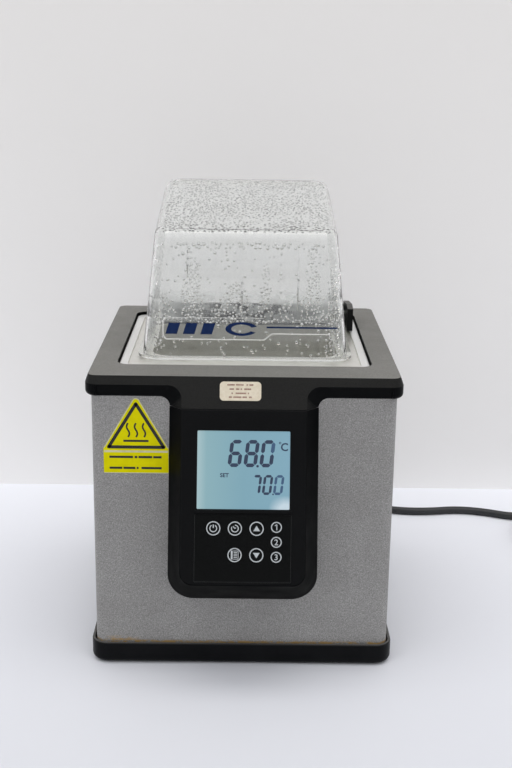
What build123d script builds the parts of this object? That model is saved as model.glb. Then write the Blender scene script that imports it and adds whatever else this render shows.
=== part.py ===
from build123d import *
import os
from math import atan2, cos, degrees, pi, radians, sin, tan

# A two-litre digital water bath for a laboratory bench. Millimetres, +Z up, the bench is z = 0.
# Every piece is drawn with y = 0 at the front edge of the collar's top face, the front facing -Y,
# and is moved by ORIGIN_SHIFT when it is saved, which puts the origin under the middle of the bath.

# ---- driving dimensions: the casing
HEIGHT = 197.0  # bench to the collar's top face
TOP_WIDTH, TOP_DEPTH = 194.6, 202.0  # the collar's top face
RIM_WIDTH = 198.6  # the collar at its widest
RIM_DROP = 5.5  # from the top face down to the widest line
COVE_WIDTH = 184.0  # the set-back under the front strip, short of the rounded corners
COLLAR_TALL = 13.5
LEAN = 16.8  # degrees that the control face leans back
ORIGIN_SHIFT = -83.4

METAL_WIDTH = 191.8
METAL_FRONT, METAL_BACK = 1.5, 200.6
METAL_GAUGE = 1.0
METAL_CORNER = 7.0

TRAY_WIDTH = 198.0
TRAY_FRONT, TRAY_BACK = -1.6, 203.7
TRAY_LOW, TRAY_FLOOR, TRAY_LIP = 0.7, 4.5, 15.0
TRAY_CORNER, TRAY_WALL = 11.0, 1.8
FOOT_RADIUS = 9.0

# ---- driving dimensions: the control face, measured down the slope from the collar's top edge
SEAM_DROP = 19.2  # vertical drop from the top face to the seam under the apron
SEAM_GAP = 0.5
FACE_HALF = 38.8
FACE_END = 128.8
HOOD_TOP_HALF, HOOD_END_HALF = 46.3, 48.8  # outline where the hood meets the metal
HOOD_DROP = 150.7
WINDOW_SIZE = (57.2, 48.2)
WINDOW_MID = 57.6
OVERLAY_SIZE = (60.2, 41.8)
OVERLAY_MID = 105.9
LARGE_KEY, SMALL_KEY = 4.55, 3.55
KEYS = {
    "key_power": (-18.2, 93.5, LARGE_KEY),
    "key_timer": (-4.9, 93.5, LARGE_KEY),
    "key_up": (8.5, 93.5, LARGE_KEY),
    "key_menu": (-4.9, 109.8, LARGE_KEY),
    "key_down": (8.5, 109.8, LARGE_KEY),
    "key_preset_1": (20.7, 92.5, SMALL_KEY),
    "key_preset_2": (20.7, 101.7, SMALL_KEY),
    "key_preset_3": (20.7, 110.9, SMALL_KEY),
}
FACE_WALL = 3.0
BOARD_DEPTH = 8.5  # from the face to the front of the control board

# ---- driving dimensions: the well and its lid
OPENING_WIDTH, OPENING_FRONT, OPENING_BACK = 164.0, 27.0, 181.5
LEDGE_DROP = 4.5  # the collar's step that carries the tank's flange
FLANGE_PLAY = 0.8
LIP_DROP, SHELF_DROP = 2.0, 3.2  # the flange's raised border and its flat shelf
SHEET = 0.8
WELL_WIDTH, WELL_FRONT, WELL_BACK = 125.0, 62.0, 156.0
WELL_DEEP = 130.0
WELL_CORNER = 14.0

LID_WALL = 1.6
LID_GAP = 0.3  # between the lid's rim and the shelf
LID_HALF_LOW, LID_HALF_HIGH = 68.3, 60.0  # outer half width at the shelf and at the front fold
LID_FRONT_LOW, LID_FRONT_HIGH = 54.5, 57.5
LID_BACK_LOW, LID_BACK_HIGH = 156.0, 153.0
LID_FOLD, LID_PEAK = 80.5, 107.5  # heights of the top's front and back edges
RIM_OUT = 2.9  # the lid's rim beyond its walls
HINGE_Y, HINGE_RISE = 164.5, 5.0
PIN_RADIUS = 1.5

# ---- driving dimensions: the mains lead
CORD = 6.3
GLAND_X, GLAND_Z = 34.0, 26.0
GLAND_TIP = 236.0
COIL_MIDDLE = (278.0, 214.0)
COIL_OUTER, COIL_INNER = 47.0, 26.2  # centre lines of the outermost and innermost turns
COIL_LOW = 0.7  # the tie lies under the coil
BENCH = CORD / 2 + 0.05

os.makedirs("parts", exist_ok=True)
slope = tan(radians(LEAN))
FACE = Plane(
    origin=(0, 0, HEIGHT),
    x_dir=(1, 0, 0),
    z_dir=(0, -cos(radians(LEAN)), sin(radians(LEAN))),
)
METAL = Plane(origin=(0, METAL_FRONT - 0.1, HEIGHT), x_dir=(1, 0, 0), z_dir=(0, -1, 0))


def save(name, shape):
    """Writes one node, moved to the part's own origin."""
    solids = shape.solids()
    moved = [Pos(0, ORIGIN_SHIFT, 0) * solid for solid in solids]
    export_step(moved[0] if len(moved) == 1 else Compound(children=moved), f"parts/{name}.step")
    return shape


def block(width, front, back, low, high, corner=0.0):
    """An upright block, centred on x = 0, with rounded vertical corners."""
    size = (width, back - front)
    outline = RectangleRounded(*size, corner) if corner else Rectangle(*size)
    return Pos(0, (front + back) / 2, low) * extrude(outline, high - low)


def disc(x, y, low, high, radius):
    """An upright round post or hole."""
    return Pos(x, y, (low + high) / 2) * Cylinder(radius, high - low)


def along_y(x, z, front, back, radius):
    """A round bar along Y."""
    return Pos(x, (front + back) / 2, z) * Rot(90, 0, 0) * Cylinder(radius, back - front)


def along_x(left, right, y, z, radius):
    """A round bar along X."""
    return Pos((left + right) / 2, y, z) * Rot(0, 90, 0) * Cylinder(radius, right - left)


def on_face(x, down, out, shape):
    """Places a shape on the control face: down its slope, and out from its surface."""
    return FACE * Pos(x, -down, out) * shape


def plate_on_face(size, down, back, front, corner=0.0, x=0.0):
    """A flat plate on the control face between two depths, minus being inside."""
    outline = RectangleRounded(*size, corner) if corner else Rectangle(*size)
    return on_face(x, down, back, extrude(outline, front - back))


# ---- the casing
def tee(low, stem_half, corner):
    """A bar wider than the collar with a stem hanging from it, joined by two concave corners."""
    bar, top, stem_low = 115.0, 2.0, -30.0
    points = [(-bar, top), (-bar, low), (-stem_half, low), (-stem_half, stem_low)]
    points += [(-x, y) for x, y in reversed(points)]
    outline = make_face(Polyline(*points, close=True))
    inner = [v for v in outline.vertices() if abs(abs(v.X) - stem_half) < 0.01 and abs(v.Y - low) < 0.01]
    return fillet(inner, corner)


def nose():
    """The collar's front strip and apron, from the sloping face back to the metal."""
    front = FACE * tee(-RIM_DROP / cos(radians(LEAN)), FACE_HALF, 8.5)
    back = METAL * tee(-COLLAR_TALL, HOOD_TOP_HALF, 6.5)
    return loft([front.faces()[0], back.faces()[0]], ruled=True)


def top_collar():
    top = HEIGHT
    rim = HEIGHT - RIM_DROP
    rim_front = -RIM_DROP * slope
    rim_back = TOP_DEPTH + (RIM_WIDTH - TOP_WIDTH) / 2
    high = Pos(0, TOP_DEPTH / 2, top) * RectangleRounded(TOP_WIDTH, TOP_DEPTH, 5.5)
    low = Pos(0, (rim_front + rim_back) / 2, rim) * RectangleRounded(RIM_WIDTH, rim_back - rim_front, 8)
    skirt = block(RIM_WIDTH, rim_front, rim_back, HEIGHT - COLLAR_TALL, rim, 8)
    under = skirt.faces().sort_by(Axis.Z)[0]
    skirt = fillet(under.edges(), 3.0)
    collar = loft([high.faces()[0], low.faces()[0]], ruled=True) + skirt
    shape = nose()
    cove = block(COVE_WIDTH, -12, METAL_FRONT - 0.1, HEIGHT - COLLAR_TALL - 1, rim) - shape
    apron = shape & block(110, -30, METAL_FRONT, HEIGHT - SEAM_DROP, rim)
    collar = collar - cove + apron
    collar -= block(OPENING_WIDTH, OPENING_FRONT, OPENING_BACK, HEIGHT - LEDGE_DROP, HEIGHT + 1, 8)
    collar -= block(OPENING_WIDTH - 16, OPENING_FRONT + 8, OPENING_BACK - 8, 0, HEIGHT + 1, 6)
    pocket = block(METAL_WIDTH + 0.2, METAL_FRONT - 0.1, METAL_BACK + 0.1, 0, HEIGHT - 3, METAL_CORNER)
    pocket -= block(OPENING_WIDTH + 6, OPENING_FRONT - 3, OPENING_BACK + 3, 0, HEIGHT, 9)
    for x, y in ROD_PLACES:
        pocket -= disc(x, y, HEIGHT - COLLAR_TALL, HEIGHT, 4.5)
    collar -= pocket
    for x, y in ROD_PLACES:
        collar -= disc(x, y, HEIGHT - COLLAR_TALL - 1, HEIGHT - 5, 2.0)
    return collar


def body_wrap():
    shell = block(METAL_WIDTH, METAL_FRONT, METAL_BACK, TRAY_FLOOR, HEIGHT - 3.1, METAL_CORNER)
    inside = METAL_GAUGE
    shell -= block(METAL_WIDTH - 2 * inside, METAL_FRONT + inside, METAL_BACK - inside, 0, HEIGHT,
                   METAL_CORNER - inside)
    window = Pos(0, METAL_FRONT, (62 + 168) / 2) * Box(72, 6, 168 - 62)
    shell -= window
    for x, z in HOOD_SCREWS:
        shell -= along_y(x, z, 0, 4, 1.7)
    shell -= along_y(GLAND_X, GLAND_Z, METAL_BACK - 4, METAL_BACK + 2, 7.9)
    for row in (0, 1):
        for step in range(9):
            slot = SlotOverall(22, 2.6, rotation=90)
            place = Pos(-72 + 8.5 * step, METAL_BACK + 2, 34 + 30 * row) * Rot(90, 0, 0)
            shell -= place * extrude(slot, 6)
    return shell


def base_tray():
    tray = block(TRAY_WIDTH, TRAY_FRONT, TRAY_BACK, TRAY_LOW, TRAY_LIP, TRAY_CORNER)
    tray = fillet(tray.faces().sort_by(Axis.Z)[0].edges(), 4.0)
    tray = fillet(tray.faces().sort_by(Axis.Z)[-1].edges(), 0.8)
    tray -= block(TRAY_WIDTH - 2 * TRAY_WALL, TRAY_FRONT + TRAY_WALL, TRAY_BACK - TRAY_WALL, TRAY_FLOOR,
                  TRAY_LIP + 1, TRAY_CORNER - TRAY_WALL)
    for step in range(7):
        slot = SlotOverall(46, 3)
        tray -= Pos(0, 70 + 9 * step, TRAY_LOW - 1) * extrude(slot, 6)
    for x, y in ROD_PLACES:
        tray -= disc(x, y, TRAY_LOW - 1, TRAY_LOW + 1.6, 4.2)
        tray -= disc(x, y, 0, TRAY_LIP, 2.1)
    for x, y in BOARD_POSTS:
        tray += disc(x, y, TRAY_FLOOR - 0.5, 12.5, 3.5)
        tray -= disc(x, y, 9, 13, 1.25)
    return tray


def rubber_feet():
    feet = [disc(x, y, 0, TRAY_LOW, FOOT_RADIUS) for x in (-68, 68) for y in (26, 176)]
    return Compound(children=feet)


ROD_PLACES = [(x, y) for x in (-84, 84) for y in (13, 189)]
BOARD_POSTS = [(x, y) for x in (-40, 40) for y in (142, 188)]
HOOD_SCREWS = [(x, HEIGHT - drop) for x in (-39.5, 39.5) for drop in (42, 124)]


def tie_rods():
    """Four long screws that clamp the metal wrap between the tray and the collar."""
    rods = []
    for x, y in ROD_PLACES:
        head = disc(x, y, TRAY_LOW + 0.1, TRAY_LOW + 1.6, 4.0)
        rods.append(head + disc(x, y, TRAY_LOW + 1, HEIGHT - 5.5, 2.0))
    return Compound(children=rods)


# ---- the control hood and what it holds
def hood_solid(inset, face_depth, top_drop, back):
    """The hood as a solid, or its hollow when it is inset."""
    front_half = FACE_HALF - inset
    front_low = FACE_END - inset
    flat = RectangleRounded(2 * front_half, front_low - 5, 8 - inset)
    front = FACE * Pos(0, -(front_low + 5) / 2, -face_depth) * flat
    half_top, half_low = HOOD_TOP_HALF - inset, HOOD_END_HALF - inset
    low = -(HOOD_DROP - inset)
    corners = [(-half_top, -5), (half_top, -5), (half_low, low), (-half_low, low)]
    outline = make_face(Polyline(*corners, close=True))
    upper = outline.vertices().sort_by(Axis.Y)[-2:]
    outline = fillet(upper, 8 - inset)
    lower = [v for v in outline.vertices() if v.Y < low + 1]
    outline = fillet(lower, 17 - inset)
    rear = Plane(origin=(0, back, HEIGHT), x_dir=(1, 0, 0), z_dir=(0, -1, 0)) * outline
    solid = loft([front.faces()[0], rear.faces()[0]], ruled=True)
    return solid & block(200, -80, 20, 0, HEIGHT - top_drop)


def control_bezel():
    metal = METAL_FRONT
    hood = hood_solid(0, 0, SEAM_DROP + SEAM_GAP, metal)
    rim = [e for e in hood.edges() if abs(FACE.to_local_coords(e.center()).Z) < 0.05]
    hood = fillet(rim, 0.9)
    hood -= hood_solid(2.6, FACE_WALL, SEAM_DROP + SEAM_GAP + 2.4, metal + 0.01)
    for x, z in HOOD_SCREWS:
        reach = metal - 5.5 if z > 120 else metal - 15
        hood += along_y(x, z, reach, metal, 3.2)
        hood -= along_y(x, z, reach + 1, metal + 1, 1.25)
    hood -= plate_on_face((WINDOW_SIZE[0] + 0.4, WINDOW_SIZE[1] + 0.4), WINDOW_MID, -8, 2, 0.8)
    hood -= plate_on_face((OVERLAY_SIZE[0] + 0.3, OVERLAY_SIZE[1] + 0.3), OVERLAY_MID, -0.6, 2, 1.2)
    hood += plate_on_face((OVERLAY_SIZE[0], 1.6), 83.2, -1, 0.7)
    for x, down, radius in KEYS.values():
        hood -= on_face(x, down, 0, Cylinder(radius + 0.2, 12))
    return hood


def display_window():
    return plate_on_face(WINDOW_SIZE, WINDOW_MID, -2.3, -0.8, 0.6)


def display_module():
    glass = plate_on_face((56, 47), WINDOW_MID, -3.4, -2.3)
    frame = plate_on_face((64, 52), WINDOW_MID, -8.1, -3.1)
    return glass + frame


def keypad_overlay():
    sheet = plate_on_face(OVERLAY_SIZE, OVERLAY_MID, -0.6, -0.1, 1.0)
    for x, down, radius in KEYS.values():
        sheet -= on_face(x, down, 0, Cylinder(radius + 0.12, 6))
    return sheet


def key(x, down, radius):
    """A moulded key: its cap, the collar that keeps it in, and the nib that works the switch."""
    cap = on_face(x, down, -1.45, Cylinder(radius, 3.3))
    keeper = on_face(x, down, -3.5, Cylinder(radius + 0.5, 0.8))
    nib = on_face(x, down, -4.1, Cylinder(1.4, 0.8))
    return cap + keeper + nib


def control_board():
    board = plate_on_face((64, 96), 76, -BOARD_DEPTH - 1.6, -BOARD_DEPTH)
    for x, down, radius in KEYS.values():
        board += plate_on_face((5.6, 5.6), down, -BOARD_DEPTH - 0.1, -6.0, x=x)
        board += on_face(x, down, -5.6, Cylinder(1.2, 0.9))
    board += plate_on_face((18, 6), 112, -BOARD_DEPTH - 6, -BOARD_DEPTH - 1.5, x=-16)
    return board


def hood_screws():
    screws = []
    for x, z in HOOD_SCREWS:
        shank = along_y(x, z, METAL_FRONT - 4, METAL_FRONT + METAL_GAUGE, 1.25)
        head = along_y(x, z, METAL_FRONT + METAL_GAUGE, METAL_FRONT + METAL_GAUGE + 1.8, 2.8)
        screws.append(shank + head)
    return Compound(children=screws)


# ---- the well
WELL_FLOOR = HEIGHT - SHELF_DROP - WELL_DEEP


def bath_tank():
    front, back = OPENING_FRONT + FLANGE_PLAY, OPENING_BACK - FLANGE_PLAY
    width = OPENING_WIDTH - 2 * FLANGE_PLAY
    low = HEIGHT - SHELF_DROP - SHEET
    flange = block(width, front, back, low, HEIGHT - LIP_DROP, 7.2)
    flange = fillet(flange.faces().sort_by(Axis.Z)[-1].edges(), 0.9)
    border = 5.5
    flange -= block(width - 2 * border, front + border, back - border, HEIGHT - SHELF_DROP, HEIGHT, 5)
    outer = block(WELL_WIDTH + 2 * SHEET, WELL_FRONT - SHEET, WELL_BACK + SHEET, WELL_FLOOR - SHEET,
                  HEIGHT - SHELF_DROP, WELL_CORNER + SHEET)
    outer = fillet(outer.faces().sort_by(Axis.Z)[0].edges(), 9 + SHEET)
    inner = block(WELL_WIDTH, WELL_FRONT, WELL_BACK, WELL_FLOOR, HEIGHT + 1, WELL_CORNER)
    inner = fillet(inner.faces().sort_by(Axis.Z)[0].edges(), 9)
    tank = flange + outer - inner
    for x in BRACKET_HOLES:
        tank -= disc(x, 167.4, HEIGHT - 6, HEIGHT, 1.3)
    return tank


def tank_gasket():
    front, back, width = OPENING_FRONT + 1, OPENING_BACK - 1, OPENING_WIDTH - 2
    low, high = HEIGHT - LEDGE_DROP, HEIGHT - SHELF_DROP - SHEET
    return block(width, front, back, low, high, 7) - block(width - 12, front + 6, back - 6, 0, HEIGHT, 5)


JACKET = 9.0
JACKET_LOW = WELL_FLOOR - SHEET - 10
THERMOSTAT = (34.0, 109.0)
SENSOR = (0.0, 109.0)
LEADS = [(-34.0, 105.0), (-34.0, 113.0)]


def insulation_jacket():
    """A foam jacket round the tank's walls and floor, with a recess for the heater."""
    front, back = WELL_FRONT - SHEET, WELL_BACK + SHEET
    width = WELL_WIDTH + 2 * SHEET
    jacket = block(width + 2 * JACKET, front - JACKET, back + JACKET, JACKET_LOW, HEIGHT - 18, 20)
    jacket -= block(width, front, back, WELL_FLOOR - SHEET, HEIGHT, WELL_CORNER + SHEET)
    jacket -= block(101, front + 11, back - 11, WELL_FLOOR - SHEET - 1.8, HEIGHT, 4)
    for x, y, radius in [(*THERMOSTAT, 9.5), (*SENSOR, 5.0), (-34, 109, 7.5)]:
        jacket -= disc(x, y, JACKET_LOW - 1, HEIGHT, radius)
    return jacket


def tank_heater():
    top = WELL_FLOOR - SHEET
    mat = block(100, WELL_FRONT - SHEET + 11.5, WELL_BACK + SHEET - 11.5, top - 1.8, top, 4)
    for x, y, radius in [(*THERMOSTAT, 9.0), (*SENSOR, 4.0)]:
        mat -= disc(x, y, 0, HEIGHT, radius)
    return mat


def over_temperature_cutout():
    top = WELL_FLOOR - SHEET
    return disc(*THERMOSTAT, top - 7, top, 8.2) + disc(*THERMOSTAT, top - 11, top - 6, 5.0)


def temperature_sensor():
    top = WELL_FLOOR - SHEET
    return disc(*SENSOR, top - 9, top, 3.2)


def heater_leads():
    low, high = TRAY_FLOOR + 21.5, WELL_FLOOR - SHEET - 1.8
    return Compound(children=[disc(x, y, low, high, 1.3) for x, y in LEADS])


def power_board():
    """The mains board on the tray's posts, with its transformer, relay and terminals."""
    low = 12.5
    board = Pos(0, 146, low + 0.8) * Box(92, 96, 1.6)
    board += Pos(20, 150, low + 12) * Box(30, 34, 22)
    board += Pos(-14, 168, low + 9) * Box(19, 16, 16)
    board += Pos(-34, 109, low + 7.4) * Box(16, 18, 12.2)
    board += Pos(38, 112, low + 6) * Box(8, 24, 10)
    board += Pos(-14, 104, low + 4) * Box(24, 8, 6)
    for x, y in BOARD_POSTS:
        board -= disc(x, y, 0, 20, 1.25)
    return board


def board_screws():
    screws = []
    for x, y in BOARD_POSTS:
        screws.append(disc(x, y, 9.2, 14.6, 1.25) + disc(x, y, 14.1, 16.2, 2.6))
    return Compound(children=screws)


def ribbon_cable():
    """A flat cable from the back of the control board to the mains board."""
    start = FACE.from_local_coords(Vector(-16, -112, -BOARD_DEPTH - 6))
    away = FACE.from_local_coords(Vector(-16, -112, -BOARD_DEPTH - 14))
    points = [start, away, (-16, 30, 46), (-16, 70, 33), (-16, 104, 32), (-16, 104, 19.5)]
    path = FilletPolyline(*points, radius=4)
    first = Plane(origin=path @ 0, x_dir=(1, 0, 0), z_dir=path % 0)
    return sweep(first * Rectangle(14, 0.8), path=path)


# ---- the lid and its hinge
def lid_solid(inset):
    """The lid's walls and sloping top as a solid, or its hollow when it is inset."""
    low = HEIGHT - SHELF_DROP + LID_GAP
    reach = LID_PEAK + 14
    rise = reach / LID_FOLD

    def section(share, z):
        half = LID_HALF_LOW + (LID_HALF_HIGH - LID_HALF_LOW) * share - inset
        front = LID_FRONT_LOW + (LID_FRONT_HIGH - LID_FRONT_LOW) * share + inset
        back = LID_BACK_LOW + (LID_BACK_HIGH - LID_BACK_LOW) * share - inset
        outline = RectangleRounded(2 * half, back - front, 12 - inset)
        return (Pos(0, (front + back) / 2, z) * outline).faces()[0]

    solid = loft([section(0, low), section(rise, low + reach)], ruled=True)
    tilt = atan2(LID_PEAK - LID_FOLD, LID_BACK_HIGH - LID_FRONT_HIGH)
    cutter = Box(300, 300, 80, align=(Align.CENTER, Align.CENTER, Align.MIN))
    top = Pos(0, LID_FRONT_HIGH, HEIGHT + LID_FOLD) * Rot(degrees(tilt), 0, 0) * Pos(0, 0, -inset)
    solid -= top * cutter
    rim = solid.faces().sort_by(Axis.Z)[-1].edges()
    return fillet(rim, 8 - inset)


def clear_lid():
    low = HEIGHT - SHELF_DROP + LID_GAP
    out = RIM_OUT
    width = 2 * (LID_HALF_LOW + out)
    lid = lid_solid(0)
    rim = block(width, LID_FRONT_LOW - out - 1.2, LID_BACK_LOW + out, low, low + LID_WALL, 15)
    lid = lid + rim
    hollow = lid_solid(LID_WALL)
    below = block(2 * (LID_HALF_LOW - LID_WALL), LID_FRONT_LOW + LID_WALL, LID_BACK_LOW - LID_WALL,
                  low - 5, low + 0.02, 12 - LID_WALL)
    return lid - hollow - below


AXIS_Z = HEIGHT + HINGE_RISE
LEAF_BARRELS = [(-50, -32), (32, 50)]
BRACKET_BARRELS = [(-31.6, -14), (14, 31.6), (50.4, 66)]
BRACKET_HOLES = (-58, 0)


def barrels(spans, bore):
    """Hinge knuckles round the pin's line."""
    made = [along_x(a, b, HINGE_Y, AXIS_Z, 3.5) for a, b in spans]
    whole = made[0]
    for part in made[1:]:
        whole += part
    return whole - along_x(-80, 90, HINGE_Y, AXIS_Z, bore)


def hinge_leaf():
    """The black leaf on the lid's back wall, with two knuckles."""
    leaf = Pos(0, LID_BACK_LOW + 0.9, HEIGHT + 6.5) * Box(104, 2.6, 12)
    for a, b in LEAF_BARRELS:
        leaf += Pos((a + b) / 2, (LID_BACK_LOW + HINGE_Y) / 2, AXIS_Z) * Box(b - a, HINGE_Y - LID_BACK_LOW, 3.4)
        leaf -= along_x(a - 1, b + 1, HINGE_Y, AXIS_Z, 3.3)
    leaf = leaf + barrels(LEAF_BARRELS, PIN_RADIUS + 0.06)
    return leaf - lid_solid(0)


def hinge_bracket():
    """The black bracket behind the lid: foot, back wall, knuckles, and the cheek on the right."""
    foot_low = HEIGHT - SHELF_DROP
    foot_front = LID_BACK_LOW + 5.2
    border = OPENING_BACK - FLANGE_PLAY - 5.7
    foot = Pos(3, (foot_front + border) / 2, foot_low + 1) * Box(138, border - foot_front, 2)
    wall_top = HEIGHT + 9.5
    wall = Pos(4, 172.2, (foot_low + wall_top) / 2) * Box(140, 3, wall_top - foot_low)
    bracket = foot + wall
    for a, b in BRACKET_BARRELS:
        middle = (a + b) / 2
        bracket += Pos(middle, HINGE_Y + 4, HEIGHT + 1.5) * Box(b - a, 8, 6.4)
        bracket += along_x(a, b, HINGE_Y, AXIS_Z, 3.5)
    side = [(134, -1.8), (132.5, 14.5), (143, 16), (173.7, 12), (173.7, -1.8)]
    cheek = make_face(Polyline(*[(y, HEIGHT + z) for y, z in side], close=True))
    cheek = extrude(Plane(origin=(73.4, 0, 0), x_dir=(0, 1, 0), z_dir=(1, 0, 0)) * cheek, 4.0)
    bracket += cheek
    bracket -= along_x(-80, 74.8, HINGE_Y, AXIS_Z, PIN_RADIUS)
    for x in BRACKET_HOLES:
        bracket -= disc(x, 167.4, HEIGHT - 4, HEIGHT + 2, 1.3)
    return bracket


def hinge_pin():
    return along_x(-51.5, 74.8, HINGE_Y, AXIS_Z, PIN_RADIUS)


def bracket_screws():
    foot_top = HEIGHT - SHELF_DROP + 2
    low = HEIGHT - SHELF_DROP - 3
    return Compound(children=[
        disc(x, 167.4, low, foot_top, 1.3) + disc(x, 167.4, foot_top, foot_top + 1.5, 2.5)
        for x in BRACKET_HOLES
    ])


# ---- stickers
def caution_sticker():
    """A triangle above a strip, one thin sheet on the metal."""
    high, corner_z, low = -12.5, -47.6, -64.4
    left, right, apex = -88.2, -47.4, -67.5
    outline = make_face(Polyline((apex, high), (left, corner_z), (left, low), (right, low), (right, corner_z),
                                 close=True))
    outline = fillet(outline.vertices().sort_by(Axis.Y)[-1], 2.5)
    others = [v for v in outline.vertices() if v.Y < corner_z + 1]
    outline = fillet(others, 0.9)
    place = Plane(origin=(0, METAL_FRONT, HEIGHT), x_dir=(1, 0, 0), z_dir=(0, -1, 0))
    return extrude(place * outline, 0.2)


def note_label():
    return plate_on_face((25.6, 11.8), 8.9, 0.0, 0.2, 2.4, x=-2.4)


# ---- the mains lead
def cord_gland():
    flange = along_y(GLAND_X, GLAND_Z, METAL_BACK, METAL_BACK + 2.8, 9.5)
    inner = along_y(GLAND_X, GLAND_Z, METAL_BACK - 9, METAL_BACK, 7.8)
    start, tip = METAL_BACK + 2.8, GLAND_TIP
    sleeve = loft([
        (Plane(origin=(GLAND_X, start, GLAND_Z), z_dir=(0, 1, 0)) * Circle(6.6)).faces()[0],
        (Plane(origin=(GLAND_X, tip, GLAND_Z), z_dir=(0, 1, 0)) * Circle(4.1)).faces()[0],
    ])
    return flange + inner + sleeve


# the lead from the gland's tip, down to the bench, past the casing's right side and to its coil
def on_coil(angle, z):
    """A point on the outermost turn, with the way the lead runs there."""
    turn = radians(angle)
    spot = Vector(COIL_MIDDLE[0] + COIL_OUTER * cos(turn), COIL_MIDDLE[1] + COIL_OUTER * sin(turn), z)
    return spot, Vector(sin(turn), -cos(turn), 0)


LEAD = [
    (GLAND_X, GLAND_TIP, GLAND_Z),
    (GLAND_X, 254.0, GLAND_Z),
    (38.5, 273.0, 19.5),
    (51.0, 288.0, 10.5),
    (71.0, 293.0, 4.6),
    (93.0, 286.5, BENCH),
    (114.0, 273.0, BENCH),
    (137.0, 265.6, BENCH),
    (161.0, 265.2, BENCH),
    (186.0, 270.4, BENCH),
    (210.0, 265.6, BENCH),
    (231.0, 255.5, BENCH),
    (251.0, 256.5, BENCH + 0.4),
    on_coil(97, BENCH + COIL_LOW)[0],
]
# the last length, from the coil's top layer to the plug beside the coil
PLUG_MIDDLE = 11.2
PLUG_X, PLUG_Y = COIL_MIDDLE[0] + 50.4, COIL_MIDDLE[1] - 46.0
LEAVES, LEAVING = on_coil(8, COIL_LOW + 1.5 * CORD + 0.1)
TAIL = [
    LEAVES,
    LEAVES + LEAVING * 18 + Vector(0, 0, 0.4),
    (PLUG_X, PLUG_Y + 16.0, PLUG_MIDDLE),
    (PLUG_X, PLUG_Y, PLUG_MIDDLE),
]


def tube(name, points):
    """A round cord along straight runs joined by arcs as large as the runs allow."""
    spots = [Vector(*p) for p in points]
    runs = [b - a for a, b in zip(spots, spots[1:])]
    radii = []
    for before, after in zip(runs, runs[1:]):
        half_turn = radians(before.get_angle(after)) / 2
        radii.append(0.45 * min(before.length, after.length) / tan(half_turn))
    path = FilletPolyline(*spots, radius=radii)
    start = Plane(origin=path @ 0, z_dir=path % 0)
    made = sweep(start * Circle(CORD / 2), path=path)
    print(name, "radii", [round(r) for r in radii], "length", round(path.length, 1))
    print(name, "volume", round(made.volume), "section times length", round(pi * CORD**2 / 4 * path.length))
    return made


def coil_ring(grow, half_height):
    """The coil's outer shape, or a larger one round it."""
    x, y = COIL_MIDDLE
    middle = COIL_LOW + CORD + 0.05
    low, high = middle - half_height, middle + half_height
    outer, inner = COIL_OUTER + CORD / 2 + 0.2 + grow, COIL_INNER - CORD / 2 - 0.2 - grow
    return disc(x, y, low, high, outer) - disc(x, y, -1, 30, inner)


def cord_coil():
    return coil_ring(0, CORD + 0.05)


def cord_tie():
    """A flat tie round the coil's section, at the side nearest the bench's front."""
    x, y = COIL_MIDDLE
    band = Pos(x, y, 0) * Rot(0, 0, -105) * Pos(36, 0, 7) * Box(40, 9, 30)
    return (coil_ring(0.6, CORD + 0.65) & band) - coil_ring(0.05, CORD + 0.05)


def power_plug():
    """A moulded plug beside the coil: tapered sleeve, then the grip."""
    turn = Plane(origin=(PLUG_X, PLUG_Y, PLUG_MIDDLE), x_dir=(1, 0, 0), z_dir=(0, -1, 0))

    def section(shape, along):
        return (turn * Pos(0, 0, along) * shape).faces()[0]

    sleeve = loft([section(Circle(4.2), 0), section(Circle(5.6), 16)])
    grip = loft([section(RectangleRounded(18, 16, 5), 15), section(RectangleRounded(25, 21, 5), 30),
                 section(RectangleRounded(26, 21.5, 5), 42)], ruled=True)
    return sleeve + grip


def plug_blades():
    face = PLUG_Y - 42
    blades = [Pos(PLUG_X + x, face - 8.5, PLUG_MIDDLE - 2) * Box(1.5, 17, 6.4) for x in (-6.35, 6.35)]
    blades.append(along_y(PLUG_X, PLUG_MIDDLE + 6, face - 19, face, 2.4))
    return Compound(children=blades)


def build_all():
    makers = [
        top_collar, body_wrap, base_tray, rubber_feet, tie_rods, control_bezel, display_window, display_module,
        keypad_overlay, control_board, hood_screws, bath_tank, tank_gasket, insulation_jacket, tank_heater,
        over_temperature_cutout, temperature_sensor, heater_leads, power_board, board_screws, ribbon_cable,
        clear_lid, hinge_leaf, hinge_bracket, hinge_pin, bracket_screws, caution_sticker, note_label, cord_gland,
        cord_coil, cord_tie, power_plug, plug_blades,
    ]
    for maker in makers:
        save(maker.__name__, maker())
    for name, place in KEYS.items():
        save(name, key(*place))
    save("power_cord", tube("power_cord", LEAD))
    save("cord_tail", tube("cord_tail", TAIL))


build_all()
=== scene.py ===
import random
from math import cos, hypot, pi, radians, sin, tan

import bmesh
import bpy
from mathutils import Matrix, Vector, noise


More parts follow.
